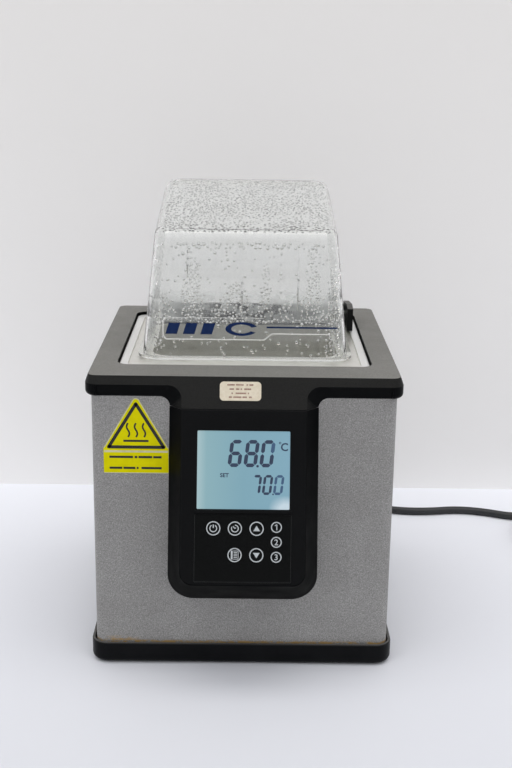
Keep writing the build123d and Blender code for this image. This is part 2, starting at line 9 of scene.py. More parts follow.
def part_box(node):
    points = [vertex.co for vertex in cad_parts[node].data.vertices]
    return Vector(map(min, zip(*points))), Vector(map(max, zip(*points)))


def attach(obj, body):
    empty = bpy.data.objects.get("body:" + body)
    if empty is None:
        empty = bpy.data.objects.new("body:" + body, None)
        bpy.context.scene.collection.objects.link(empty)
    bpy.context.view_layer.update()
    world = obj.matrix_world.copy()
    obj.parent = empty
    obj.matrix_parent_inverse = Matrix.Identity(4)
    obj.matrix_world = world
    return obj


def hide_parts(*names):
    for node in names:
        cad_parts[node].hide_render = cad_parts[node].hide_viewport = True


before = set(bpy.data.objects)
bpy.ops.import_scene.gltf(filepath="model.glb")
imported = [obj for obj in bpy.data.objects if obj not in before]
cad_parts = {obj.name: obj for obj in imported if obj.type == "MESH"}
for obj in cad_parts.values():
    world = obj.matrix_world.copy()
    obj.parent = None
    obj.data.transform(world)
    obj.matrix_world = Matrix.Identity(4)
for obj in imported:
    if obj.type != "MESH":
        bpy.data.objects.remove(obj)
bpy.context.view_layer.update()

MM = 0.001
PRINT_OFF = 0.04  # how far printing stands off a flat surface, in millimetres
FACE_PRINT = 0.22  # how far out from the control face the print on the keys and the label lies


# ---- places, from the frame: a point is (x, back, up) in millimetres
def corner(node, which, axis):
    """One coordinate of a node's lowest (0) or highest (1) corner, in millimetres."""
    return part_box(node)[which][axis] / MM


HEIGHT = corner("bath_tank", 1, 2) + 2.0  # the collar's top face
FRONT = corner("body_wrap", 0, 1) - 1.5  # the collar's top front edge
LEAN = radians(16.8)  # the control face, back from upright


def spot(x, back, up):
    """A point given from the collar's top front edge, back into the bath and up from the bench."""
    return Vector((x, FRONT + back, up)) * MM


def on_face(x, down, out=0.0):
    """A point on the sloping control face, down its slope and out from its surface."""
    return spot(x, -down * sin(LEAN) - out * cos(LEAN), HEIGHT - down * cos(LEAN) + out * sin(LEAN))


# ---- the camera
EYE = (1.1, -722.9, HEIGHT + 201.9)  # the point it looks from
YAW, PITCH, ROLL = 0.0083, 0.2781, 0.0140  # in radians; a positive pitch looks down
SENSOR, LENS = 36.0, 57.0


def add_camera():
    """A long-lens view from in front of the bath and above it, looking a little down."""
    ahead = Vector((sin(YAW) * cos(PITCH), cos(YAW) * cos(PITCH), -sin(PITCH)))
    right = Vector((cos(YAW), -sin(YAW), 0))
    upward = right.cross(ahead)
    right, upward = cos(ROLL) * right + sin(ROLL) * upward, cos(ROLL) * upward - sin(ROLL) * right
    data = bpy.data.cameras.new("camera")
    data.sensor_fit = "VERTICAL"
    data.sensor_height = SENSOR
    data.lens = LENS
    camera = bpy.data.objects.new("camera", data)
    bpy.context.collection.objects.link(camera)
    turn = Matrix((right, upward, -ahead)).transposed().to_4x4()
    camera.matrix_world = Matrix.Translation(spot(*EYE)) @ turn
    bpy.context.scene.camera = camera


# ---- materials
def linear(code):
    """An sRGB hex colour as linear red, green, blue and alpha."""
    parts = [int(code[i:i + 2], 16) / 255 for i in (1, 3, 5)]
    return [c / 12.92 if c <= 0.04045 else ((c + 0.055) / 1.055) ** 2.4 for c in parts] + [1.0]


def setup(tree, shader, inputs):
    """Sets a shader node's inputs, each to a value or to another node's output."""
    for name, value in inputs.items():
        if isinstance(value, bpy.types.NodeSocket):
            tree.links.new(value, shader.inputs[name])
        else:
            shader.inputs[name].default_value = value


def add(tree, kind, inputs=None, **settings):
    """One shader node with its settings and its inputs."""
    made = tree.nodes.new(kind)
    for name, value in settings.items():
        setattr(made, name, value)
    setup(tree, made, inputs or {})
    return made


def maths(tree, operation, *values):
    """The result of a maths node on one or two values."""
    return add(tree, "ShaderNodeMath", dict(enumerate(values)), operation=operation).outputs[0]


def material(name):
    """A new empty material, its node tree and its shader, already wired to the output."""
    made = bpy.data.materials.new(name)
    made.use_nodes = True
    tree = made.node_tree
    tree.nodes.clear()
    shader = add(tree, "ShaderNodeBsdfPrincipled")
    add(tree, "ShaderNodeOutputMaterial", {"Surface": shader.outputs[0]})
    return made, tree, shader


def per_metre(millimetres):
    """The texture scale that gives features of a real size."""
    return 1 / (millimetres * MM)


def place(tree):
    """Where a point of the surface is at rest, in metres."""
    return add(tree, "ShaderNodeTexCoord").outputs["Object"]


def coordinates(tree):
    """The same place as three outputs, "X", "Y" and "Z"."""
    return add(tree, "ShaderNodeSeparateXYZ", {"Vector": place(tree)}).outputs


def grain(tree, size, detail=2.0, rough=0.5, stretch=None):
    """Noise of a real size in millimetres; a stretch squeezes it along an axis."""
    where = place(tree)
    if stretch:
        where = add(tree, "ShaderNodeMapping", {"Vector": where, "Scale": stretch}).outputs[0]
    return add(tree, "ShaderNodeTexNoise", {
        "Vector": where, "Scale": per_metre(size), "Detail": detail, "Roughness": rough}).outputs["Fac"]


def ramp(tree, fac, stops):
    """A colour ramp from a list of (position, hex colour)."""
    made = add(tree, "ShaderNodeValToRGB", {"Fac": fac})
    band = made.color_ramp.elements
    while len(band) < len(stops):
        band.new(0.5)
    for element, (position, code) in zip(band, stops):
        element.position = position
        element.color = linear(code)
    return made.outputs["Color"]


def spread(tree, fac, low, high, to_low=0.0, to_high=1.0):
    """Stretches a value from one range to another, clamped."""
    made = add(tree, "ShaderNodeMapRange", {
        "Value": fac, "From Min": low, "From Max": high, "To Min": to_low, "To Max": to_high})
    return made.outputs["Result"]


def mixed(tree, fac, one, two):
    """One colour over another, by a mask; each is a hex colour or a node's output."""
    made = add(tree, "ShaderNodeMix", {"Factor": fac}, data_type="RGBA")
    for socket, value in ((made.inputs[6], one), (made.inputs[7], two)):
        if isinstance(value, str):
            socket.default_value = linear(value)
        else:
            tree.links.new(value, socket)
    return made.outputs[2]


def relief(tree, height, depth, strength=1.0):
    """Bump of a real depth in millimetres."""
    return add(tree, "ShaderNodeBump", {
        "Height": height, "Distance": depth * MM, "Strength": strength}).outputs["Normal"]


def moulded_abs(name, low, high, rough, painted_sheen="#5f5e5c", shine=0.09):
    """Black ABS from a spark-eroded mould: a fine even grain that breaks up the shine. It is drawn at
    0.7 mm, about twice its real size, so that it shows. A paler colour is painted on the faces that look
    up, and thinly on a slope: painted sheen, standing for the bright room caught at a grazing angle."""
    made, tree, shader = material(name)
    pits = grain(tree, 0.7, 1.0)
    cloud = grain(tree, 22, 4.0, 0.6)
    tone = mixed(tree, spread(tree, cloud, 0.4, 0.75, 0, 0.6), low, high)
    facing = add(tree, "ShaderNodeSeparateXYZ", {
        "Vector": add(tree, "ShaderNodeNewGeometry").outputs["True Normal"]}).outputs["Z"]
    # faces that look up, and slopes thinly, get a paler colour: painted sheen
    level = spread(tree, facing, 0.80, 0.99)
    sloping = spread(tree, facing, 0.05, 0.35, 0.0, 0.13)
    sheen_share = maths(tree, "MAXIMUM", level, sloping)
    sheen_flecks = maths(tree, "MULTIPLY", sheen_share, spread(tree, pits, 0.25, 0.7, 0.72, 1.0))
    setup(tree, shader, {
        "Base Color": mixed(tree, sheen_flecks, tone, painted_sheen),
        "Roughness": spread(tree, cloud, 0.3, 0.7, rough - 0.05, rough + 0.07),
        "Normal": relief(tree, pits, 0.05, 0.6), "IOR": 1.5, "Specular IOR Level": shine})
    return made


# rust at the metal's lower left: the bands, in metres, over which it fades at its left, its right and its
# top, and the band above the bottom edge, which rusts all along
RUST_LEFT, RUST_RIGHT = (-91 * MM, -84 * MM), (-76 * MM, -66 * MM)
RUST_TOP, RUST_EDGE = (15.5 * MM, 19.5 * MM), (15.4 * MM, 16.4 * MM)


def painted_steel():
    """Sheet steel under a grey textured powder coat: a dense pepper of light and dark specks on a soft
    orange peel, with a little rust where water has run down to the bottom edge."""
    made, tree, shader = material("grey powder coat")
    specks = grain(tree, 0.75, 2.0, 0.7)
    cloud = grain(tree, 26, 3.0, 0.55)
    tone = ramp(tree, specks, [(0.30, "#737270"), (0.48, "#92918f"), (0.58, "#9d9c9a"), (0.74, "#b9b8b5")])
    tone = mixed(tree, spread(tree, cloud, 0.35, 0.7, 0.0, 0.20), tone, "#6c6a66")
    where = coordinates(tree)
    low = spread(tree, where["Z"], *RUST_TOP, 1, 0)
    left = spread(tree, where["X"], *RUST_LEFT, 0, 1)
    right = spread(tree, where["X"], *RUST_RIGHT, 1, 0)
    blotch = spread(tree, grain(tree, 2.6, 5.0, 0.7, (0.5, 1, 1.6)), 0.46, 0.54)
    patch = maths(tree, "MULTIPLY", maths(tree, "MULTIPLY", left, right), low)
    edge = spread(tree, where["Z"], *RUST_EDGE, 0.8, 0)
    stain = maths(tree, "MULTIPLY", maths(tree, "MAXIMUM", patch, edge), blotch)
    setup(tree, shader, {"Base Color": mixed(tree, stain, tone, "#b08a45"), "Metallic": 0.25,
                         "Roughness": spread(tree, specks, 0.3, 0.7, 0.42, 0.58),
                         "Normal": relief(tree, specks, 0.08, 0.5)})
    return made


def deep_drawn_steel():
    """Stainless steel, drawn and polished: bright, with faint drawing lines and water marks. The flange
    at its top is paler and less metallic."""
    made, tree, shader = material("drawn stainless steel")
    lines = grain(tree, 1.1, 3.0, 0.6, (1, 1, 0.06))
    marks = grain(tree, 14, 4.0, 0.65)
    lip = spread(tree, coordinates(tree)["Z"], (HEIGHT - 2.8) * MM, (HEIGHT - 2.5) * MM)
    tone = mixed(tree, spread(tree, marks, 0.45, 0.7, 0, 0.5), "#eae9e3", "#d6d3ca")
    setup(tree, shader, {
        "Base Color": mixed(tree, lip, tone, "#e6e6e4"),
        "Metallic": spread(tree, lip, 0, 1, 0.9, 0.6),
        "Roughness": spread(tree, lines, 0.3, 0.7, 0.30, 0.42),
        "Normal": relief(tree, lines, 0.02, 0.35)})
    return made


def see_through(tree, shader, mask, tint):
    """Lets light of a tint straight through a material where a mask is one."""
    clear = add(tree, "ShaderNodeBsdfTransparent", {"Color": linear(tint)})
    both = add(tree, "ShaderNodeMixShader", {0: mask, 1: shader.outputs[0], 2: clear.outputs[0]})
    output = next(n for n in tree.nodes if n.type == "OUTPUT_MATERIAL")
    tree.links.new(both.outputs[0], output.inputs["Surface"])


def shadow_ray(tree):
    """One for light that only casts a shadow."""
    return add(tree, "ShaderNodeLightPath").outputs["Is Shadow Ray"]


def clear_acrylic():
    """Clear moulded acrylic, faintly wiped into upright runs by drops that have slid down, with patches
    of fog low on its back wall, closer towards its sides. Light that only casts a shadow goes through."""
    made, tree, shader = material("clear acrylic")
    runs = grain(tree, 5.5, 3.0, 0.6, (1, 1, 0.12))
    patches = spread(tree, grain(tree, 9, 3.0, 0.6, (1, 1, 1.6)), 0.46, 0.54)
    where = coordinates(tree)
    above = spread(tree, where["Z"], (HEIGHT - 2) * MM, (HEIGHT + 2) * MM)
    below = spread(tree, where["Z"], (HEIGHT + 16) * MM, (HEIGHT + 24) * MM, 1, 0)
    behind = spread(tree, where["Y"], spot(0, 140, 0).y, spot(0, 146, 0).y)
    outer = spread(tree, maths(tree, "ABSOLUTE", where["X"]), 16 * MM, 42 * MM, 0.0, 0.75)
    fog = maths(tree, "MAXIMUM", patches, outer)
    for mask in (above, below, behind):
        fog = maths(tree, "MULTIPLY", fog, mask)
    blur = maths(tree, "ADD", spread(tree, runs, 0.35, 0.65, 0.0, 0.05), spread(tree, fog, 0, 1, 0, 0.45))
    setup(tree, shader, {"Base Color": linear("#fcfdfc"), "IOR": 1.49, "Roughness": blur,
                         "Transmission Weight": spread(tree, blur, 0.0, 0.4, 0.985, 0.70),
                         "Normal": relief(tree, runs, 0.03, 0.15)})
    see_through(tree, shader, shadow_ray(tree), "#f3f4f3")
    return made


def water():
    """Clear drops of water."""
    made, tree, shader = material("water drops")
    setup(tree, shader, {"Base Color": linear("#ffffff"), "IOR": 1.333, "Roughness": 0.0,
                         "Transmission Weight": 1.0})
    see_through(tree, shader, shadow_ray(tree), "#f0f1f1")
    return made


def lit_display():
    """A backlit liquid-crystal panel behind a clear cover: pale blue, a little greener at the left,
    with the lamp's bright corner at the lower right."""
    made, tree, shader = material("backlit display")
    where = coordinates(tree)
    across = spread(tree, where["X"], -28.6 * MM, 28.6 * MM)
    tone = ramp(tree, across, [(0.0, "#a6c3c8"), (0.10, "#86aeb8"), (0.5, "#77a3b4"), (1.0, "#7ba6ba")])
    lamp = spread(tree, where["Z"], on_face(0, 72).z, on_face(0, 80.5).z)
    side = spread(tree, where["X"], 14 * MM, 25 * MM)
    glow = maths(tree, "MULTIPLY", lamp, side)
    tone = mixed(tree, spread(tree, glow, 0.15, 0.8, 0, 0.8), tone, "#d5e4ee")
    setup(tree, shader, {"Base Color": linear("#2c3638"), "Roughness": 0.25, "Emission Color": tone,
                         "Emission Strength": 0.88, "Coat Weight": 0.5, "Coat Roughness": 0.06})
    return made


DULL = {"Specular IOR Level": 0.05}  # for a finish that hardly shines


def one_sided(made):
    """Makes a backdrop that is seen from its front only, so that the bath can be looked at from behind."""
    tree = made.node_tree
    shader = next(n for n in tree.nodes if n.type == "BSDF_PRINCIPLED")
    see_through(tree, shader, add(tree, "ShaderNodeNewGeometry").outputs["Backfacing"], "#ffffff")
    return made


def plain(name, code, rough=0.5, metallic=0.0, mottle=None, size=3.0, depth=0.03, **more):
    """A finish with one colour, a slight mottle of another, and a fine relief."""
    made, tree, shader = material(name)
    spots = grain(tree, size, 3.0, 0.6)
    colour = mixed(tree, spread(tree, spots, 0.35, 0.7), code, mottle or code)
    setup(tree, shader, {"Base Color": colour, "Metallic": metallic,
                         "Roughness": spread(tree, spots, 0.3, 0.7, rough - 0.04, rough + 0.05),
                         "Normal": relief(tree, spots, depth, 0.4)})
    setup(tree, shader, more)
    return made


def glowing(name, code):
    """Liquid-crystal ink over the backlight: what light comes through it is its own colour."""
    made, tree, shader = material(name)
    fade = spread(tree, grain(tree, 2.5, 2.0), 0.3, 0.7, 0, 0.12)
    setup(tree, shader, {
        "Base Color": linear("#05070a"), "Roughness": 0.3,
        "Emission Color": mixed(tree, fade, code, "#3f6484"), "Emission Strength": 1.0,
        "Coat Weight": 0.5, "Coat Roughness": 0.06})
    return made


FINISH = {
    # the fourth colour of each black moulded finish is painted sheen on the faces that look up
    "collar": moulded_abs("black moulded abs", "#060708", "#0c0d0e", 0.40, "#7d7c78", 0.05),
    "hood": moulded_abs("black hood abs", "#050607", "#0a0b0c", 0.50, "#434344", 0.03),
    "tray": moulded_abs("black tray abs", "#0a0b0d", "#141517", 0.34),
    "hinge": moulded_abs("black hinge nylon", "#141516", "#232425", 0.45),
    "paint": painted_steel(),
    "steel": deep_drawn_steel(),
    "acrylic": clear_acrylic(),
    "water": water(),
    "display": lit_display(),
    "ink": glowing("dark crystal segments", "#0b2140"),
    "ink_faint": glowing("fading crystal segments", "#2c4d6f"),
    "film": plain("satin polyester film", "#0c0d0d", 0.38, mottle="#121313", size=1.0, **DULL),
    "key": plain("satin key plastic", "#0d0e0e", 0.36, mottle="#141515", size=1.0, **DULL),
    # a painted highlight along the keypad film's edge
    "edge_highlight": plain("painted film edge highlight", "#343535", 0.5, mottle="#232424", size=2.0, **DULL),
    "print": plain("pale screen print", "#c3c8ca", 0.5, mottle="#aab0b3", size=0.8),
    "vinyl": plain("yellow vinyl", "#e0d904", 0.5, mottle="#d6cf03", size=6, **DULL),
    "vinyl_edge": plain("cream vinyl edge", "#d6d2ae", 0.45, mottle="#c2bf94", size=4),
    "black_print": plain("black screen print", "#131311", 0.45, mottle="#1c1c18"),
    "paper": plain("cream paper", "#e3d9c4", 0.7, mottle="#d8ccb4", size=2.4),
    "brown_print": plain("worn brown print", "#8b6a5d", 0.7, mottle="#b8a08f", size=0.9),
    "navy": plain("navy screen print", "#1b2c55", 0.4, mottle="#24365f", **DULL),
    "frost": plain("frosted line", "#f4f4f1", 0.5, mottle="#e6e6e2"),
    "cord": plain("black pvc cord", "#1c1d1e", 0.42, mottle="#26272a", size=2.0),
    "rubber": plain("black rubber", "#141414", 0.75, mottle="#1e1e1e", size=1.5),
    "zinc": plain("zinc plated steel", "#bfc0bf", 0.32, 1.0, mottle="#a9abaa", size=2.0),
    "brass": plain("nickel plated brass", "#d6cfb4", 0.25, 1.0, mottle="#c2b890", size=3.0),
    "laminate": plain("green laminate", "#1e5a35", 0.4, mottle="#2a6b40", size=4.0),
    "fibre": plain("white fibre mat", "#d8d4c8", 0.9, mottle="#bdb8aa", size=3.0, depth=0.4),
    "silicone": plain("orange silicone rubber", "#a34a22", 0.6, mottle="#8e3f1d", size=3.0),
    "wire": plain("red wire insulation", "#8e1d18", 0.45, mottle="#a3261f"),
    "ribbon": plain("grey ribbon cable", "#9a9a98", 0.5, mottle="#848482", size=1.3),
    "glass_frame": plain("display frame", "#b9bcbc", 0.35, 1.0, mottle="#9fa3a3"),
}

NODE_FINISH = {
    "top_collar": "collar", "body_wrap": "paint", "base_tray": "tray", "rubber_feet": "rubber",
    "tie_rods": "zinc", "control_bezel": "hood", "display_window": "display",
    "display_module": "glass_frame", "keypad_overlay": "film", "control_board": "laminate",
    "hood_screws": "zinc", "bath_tank": "steel",
    "tank_gasket": "rubber", "insulation_jacket": "fibre", "tank_heater": "silicone",
    "over_temperature_cutout": "zinc", "temperature_sensor": "zinc", "heater_leads": "wire",
    "power_board": "laminate", "board_screws": "zinc", "ribbon_cable": "ribbon", "clear_lid": "acrylic",
    "hinge_leaf": "hinge", "hinge_bracket": "hinge", "hinge_pin": "zinc", "bracket_screws": "zinc",
    "caution_sticker": "vinyl", "note_label": "paper", "cord_gland": "cord", "cord_tie": "rubber",
    "power_plug": "cord", "plug_blades": "brass",
}


def dress_nodes():
    """Gives every piece of the frame its finish; the ones that the mains lead replaces need none."""
    for name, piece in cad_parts.items():
        finish = "key" if name.startswith("key_") else NODE_FINISH.get(name)
        if finish:
            piece.data.materials.clear()
            piece.data.materials.append(FINISH[finish])


# ---- the mains lead: its route is given up to the coil, whose turns a loop makes
CORD = 6.3  # its diameter
BENCH = CORD / 2 + 0.05  # the height of its middle where it lies on the bench
COIL_LOW = 0.7  # the tie lies under the coil
COIL_MIDDLE = (278.0, 214.0)
COIL_OUTER, COIL_INNER = 47.0, 26.2
GLAND_TIP = (34.0, 236.0, 26.0)
LEAD = [
    GLAND_TIP,
    (34.0, 254.0, 26.0),
    (38.5, 273.0, 19.5),
    (51.0, 288.0, 10.5),
    (71.0, 293.0, 4.6),
    (93.0, 286.5, BENCH),
    (114.0, 273.0, BENCH),
    (137.0, 265.6, BENCH),
    (161.0, 265.2, BENCH),
    (186.0, 270.4, BENCH),
    (210.0, 265.6, BENCH),
    (231.0, 255.5, BENCH),
    (251.0, 256.5, BENCH + 0.4),
]
PLUG_END = (COIL_MIDDLE[0] + 50.4, COIL_MIDDLE[1] - 46.0, 11.2)
ENDING = [(PLUG_END[0] - 1.4, PLUG_END[1] + 34.5, 10.6), (PLUG_END[0], PLUG_END[1] + 16, 11.2), PLUG_END]


def coil_points():
    """Three turns in along the bench, a quarter turn up, and three turns out on top."""
    start, turns, climb, step = 97, 1080, 89, 15  # in degrees
    lower, upper = BENCH + COIL_LOW, COIL_LOW + 1.5 * CORD + 0.1
    points = []
    angle = 0
    while angle <= 2 * turns + climb:
        inward = min(angle / turns, 1)
        outward = max((angle - turns - climb) / turns, 0)
        rise = min(max((angle - turns) / climb, 0), 1)
        reach = COIL_OUTER - (COIL_OUTER - COIL_INNER) * (inward - outward)
        turn = radians(start - angle)
        x, back = COIL_MIDDLE[0] + reach * cos(turn), COIL_MIDDLE[1] + reach * sin(turn)
        points.append((x, back, lower + (upper - lower) * rise))
        angle += step
    return points


def mains_lead():
    """One round cord from the gland through the coil to the plug."""
    route = [spot(*p) for p in LEAD + coil_points() + ENDING]
    curve = bpy.data.curves.new("mains_lead", "CURVE")
    curve.dimensions = "3D"
    curve.bevel_depth = CORD / 2 * MM
    curve.bevel_resolution = 5
    curve.use_fill_caps = True
    curve.resolution_u = 6
    spline = curve.splines.new("NURBS")
    spline.points.add(len(route) - 1)
    for point, where in zip(spline.points, route):
        point.co = (*where, 1)
    spline.order_u = 3
    spline.use_endpoint_u = True
    lead = bpy.data.objects.new("mains_lead", curve)
    bpy.context.collection.objects.link(lead)
    curve.materials.append(FINISH["cord"])
    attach(lead, "bath")
    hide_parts("power_cord", "cord_coil", "cord_tail")


# ---- printing: flat shapes, as lists of corners in millimetres, laid on a surface
def strip(points, width):
    """A line of some width through points, as four-cornered pieces with overlapping joins."""
    shapes = []
    for (x0, y0), (x1, y1) in zip(points, points[1:]):
        long = hypot(x1 - x0, y1 - y0)
        ax, ay = (x1 - x0) / long * width / 2, (y1 - y0) / long * width / 2
        shapes.append([(x0 - ay, y0 + ax), (x0 + ay, y0 - ax), (x1 + ay, y1 - ax), (x1 - ay, y1 + ax)])
    return shapes


def arc(x, y, radius, width, start=0.0, end=360.0, steps=40):
    """A ring, or part of one."""
    shapes = []
    inner, outer = radius - width / 2, radius + width / 2
    angles = [radians(start + (end - start) * i / steps) for i in range(steps + 1)]
    for a, b in zip(angles, angles[1:]):
        shapes.append([(x + inner * cos(a), y + inner * sin(a)), (x + outer * cos(a), y + outer * sin(a)),
                       (x + outer * cos(b), y + outer * sin(b)), (x + inner * cos(b), y + inner * sin(b))])
    return shapes


def oblong(x0, y0, x1, y1):
    """A rectangle from two opposite corners."""
    return [(x0, y0), (x1, y0), (x1, y1), (x0, y1)]


def soft_oblong(x0, y0, x1, y1, radius, steps=6):
    """A rounded rectangle."""
    points = []
    for cx, cy, start in ((x1 - radius, y1 - radius, 0), (x0 + radius, y1 - radius, 90),
                          (x0 + radius, y0 + radius, 180), (x1 - radius, y0 + radius, 270)):
        for i in range(steps + 1):
            turn = radians(start + 90 * i / steps)
            points.append((cx + radius * cos(turn), cy + radius * sin(turn)))
    return points


CAPITAL = 0.73  # a capital's height in the default font, as a share of the font's size


def lettering(words, height, bold=0.0):
    """The default font's outlines of a short word, as flat shapes that start at the origin."""
    curve = bpy.data.curves.new(words, "FONT")
    curve.body = words
    curve.size = height / CAPITAL
    curve.resolution_u = 3
    curve.offset = bold * curve.size
    piece = bpy.data.objects.new(words, curve)
    bpy.context.collection.objects.link(piece)
    mesh = piece.to_mesh()
    points = [(vertex.co.x, vertex.co.y) for vertex in mesh.vertices]
    shapes = [[points[i] for i in face.vertices] for face in mesh.polygons]
    piece.to_mesh_clear()
    bpy.data.objects.remove(piece)
    left = min(x for shape in shapes for x, _ in shape)
    low = min(y for shape in shapes for _, y in shape)
    return [[(x - left, y - low) for x, y in shape] for shape in shapes]


def moved(shapes, x, y):
    """Shapes moved across and up."""
    return [[(x + px, y + py) for px, py in shape] for shape in shapes]


def middle(shapes, x, y):
    """Shapes moved so that their middle is at a point."""
    xs = [p[0] for shape in shapes for p in shape]
    ys = [p[1] for shape in shapes for p in shape]
    return moved(shapes, x - (min(xs) + max(xs)) / 2, y - (min(ys) + max(ys)) / 2)


def printed(name, groups, surface, body):
    """Lays groups of flat shapes, each with its finish, on a surface: a function of (x, y)."""
    mesh = bpy.data.meshes.new(name)
    build = bmesh.new()
    for index, (shapes, finish) in enumerate(groups):
        mesh.materials.append(FINISH[finish])
        for shape in shapes:
            face = build.faces.new([build.verts.new(surface(x, y)) for x, y in shape])
            face.material_index = index
    bmesh.ops.recalc_face_normals(build, faces=build.faces)
    build.to_mesh(mesh)
    build.free()
    piece = bpy.data.objects.new(name, mesh)
    bpy.context.collection.objects.link(piece)
    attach(piece, body)
    return piece


# ---- what the display shows, across from the face's middle and up from its top edge
SEGMENTS = {"0": "abcdef", "6": "acdefg", "7": "abc", "8": "abcdefg"}
FIGURE_LEAN = radians(7)
DISPLAY_LEVEL = -0.75  # a little behind the control face
# each reading: its figures, the first one's left foot, their pitch, and a figure's width, height and stroke
WATER_READING = ("680", -10.1, -55.7, 9.8, 8.3, 16.8, 2.3)
SET_READING = ("700", 4.4, -72.7, 6.9, 5.8, 12.3, 1.6)


def segment_digit(figure, x, low, width, height, stroke):
    """A leaning seven-segment figure: a dict from segment name to its shape."""
    half = stroke / 2
    left, right, bottom, top, waist = half, width - half, half, height - half, height / 2
    ends = {
        "a": (left, top, right, top), "g": (left, waist, right, waist), "d": (left, bottom, right, bottom),
        "f": (left, waist, left, top), "b": (right, waist, right, top),
        "e": (left, bottom, left, waist), "c": (right, bottom, right, waist),
    }
    gap = 0.08 * stroke
    shapes = {}
    for name in SEGMENTS[figure]:
        x0, y0, x1, y1 = ends[name]
        if y0 == y1:
            shape = [(x0 + gap, y0), (x0 + gap + half, y0 + half), (x1 - gap - half, y0 + half),
                     (x1 - gap, y0), (x1 - gap - half, y0 - half), (x0 + gap + half, y0 - half)]
        else:
            shape = [(x0, y0 + gap), (x0 - half, y0 + gap + half), (x0 - half, y1 - gap - half),
                     (x0, y1 - gap), (x0 + half, y1 - gap - half), (x0 + half, y0 + gap + half)]
        shapes[name] = [(x + px + py * tan(FIGURE_LEAN), low + py) for px, py in shape]
    return shapes


def reading(figures, x, low, pitch, width, height, stroke):
    """Every segment of a row of figures: the figure's place in the row, its name and its shape."""
    for index, figure in enumerate(figures):
        made = segment_digit(figure, x + pitch * index, low, width, height, stroke)
        for name, shape in made.items():
            yield index, name, shape


def display_figures():
    """Two readings, the unit, and the word for the set value. One segment of the upper reading's last
    figure is fading, and all of the lower one's last figure."""
    dark, faint = [], []
    for index, name, shape in reading(*WATER_READING):
        (faint if index == 2 and name == "b" else dark).append(shape)
    dark += moved([soft_oblong(0, 0, 1.5, 1.5, 0.6)], 7.9, -55.8)
    for index, _, shape in reading(*SET_READING):
        (faint if index == 2 else dark).append(shape)
    dark += moved([soft_oblong(0, 0, 1.0, 1.0, 0.4)], 17.9, -72.8)
    dark += moved(lettering("C", 5.0, 0.02), 22.9, -45.6) + arc(22.4, -40.6, 0.55, 0.35, steps=12)
    dark += moved(lettering("SET", 2.5, 0.03), -14.4, -62.1)
    printed("display_figures", [(dark, "ink"), (faint, "ink_faint")],
            lambda x, y: on_face(x, -y, DISPLAY_LEVEL), "bath")


# ---- the keys' printing
def key_icons():
    """The sign on each key, centred on the origin and drawn in millimetres."""
    tick = strip([(0, 0.2), (0, 2.3)], 0.7)
    hands = strip([(0, 0), (-1.2, 1.4)], 0.6) + strip([(0, 0), (0.7, 0.5)], 0.6)
    list_page = [oblong(-2.3, -2.7, -1.2, 2.7)]
    list_page += strip([(-0.8, 2.5), (2.2, 2.5), (2.2, -2.5), (-0.8, -2.5)], 0.4)
    list_page += [oblong(-0.6, y, 1.6, y + 0.5) for y in (-1.7, -0.7, 0.3, 1.3)]
    return {
        "key_power": arc(0, 0, 2.1, 0.6, 120, 420) + tick,
        "key_timer": arc(0, 0, 2.1, 0.6, 150, 450) + hands,
        "key_up": [[(-2.1, -1.5), (2.1, -1.5), (0, 1.9)]],
        "key_down": [[(-2.1, 1.5), (0, -1.9), (2.1, 1.5)]],
        "key_menu": list_page,
        "key_preset_1": strip([(-0.9, 0.9), (0.25, 1.7), (0.25, -1.8)], 0.6),
        "key_preset_2": middle(lettering("2", 3.7, 0.012), 0, 0),
        "key_preset_3": middle(lettering("3", 3.7, 0.012), 0, 0),
    }


# each key's middle: across, and down the control face
KEY_PLACES = {
    "key_power": (-18.2, 93.5), "key_timer": (-4.9, 93.5), "key_up": (8.5, 93.5), "key_menu": (-4.9, 109.8),
    "key_down": (8.5, 109.8), "key_preset_1": (20.7, 92.5), "key_preset_2": (20.7, 101.7),
    "key_preset_3": (20.7, 110.9),
}
PRESET_RING, KEY_RING, RING_WIDTH = 3.05, 4.05, 0.65  # the rings' radii, and their line's width


def overlay_edge():
    """A painted highlight: the thin edge of the keypad's film, drawn as a lighter line where it would catch
    the light, down its sides and along its bottom.
    """
    left, right, high, low, level = -29.8, 29.8, -85.3, -126.4, -0.06
    # the lighter line is a painted highlight along the film's edge
    worn = strip([(left, high), (left, low), (right, low), (right, high)], 0.3)
    printed("overlay_edge", [(worn, "edge_highlight")], lambda x, y: on_face(x, -y, level), "bath")


def print_keys():
    """A sign in a ring on each key, which rides on the key's own body."""
    for name, shapes in key_icons().items():
        x, down = KEY_PLACES[name]
        radius = PRESET_RING if "preset" in name else KEY_RING
        shapes = shapes + arc(0, 0, radius, RING_WIDTH, steps=48)
        body = name.removeprefix("key_") + "_key"
        printed(name + "_print", [(shapes, "print")],
                lambda px, py, x=x, down=down: on_face(x + px, down - py, FACE_PRINT), body)


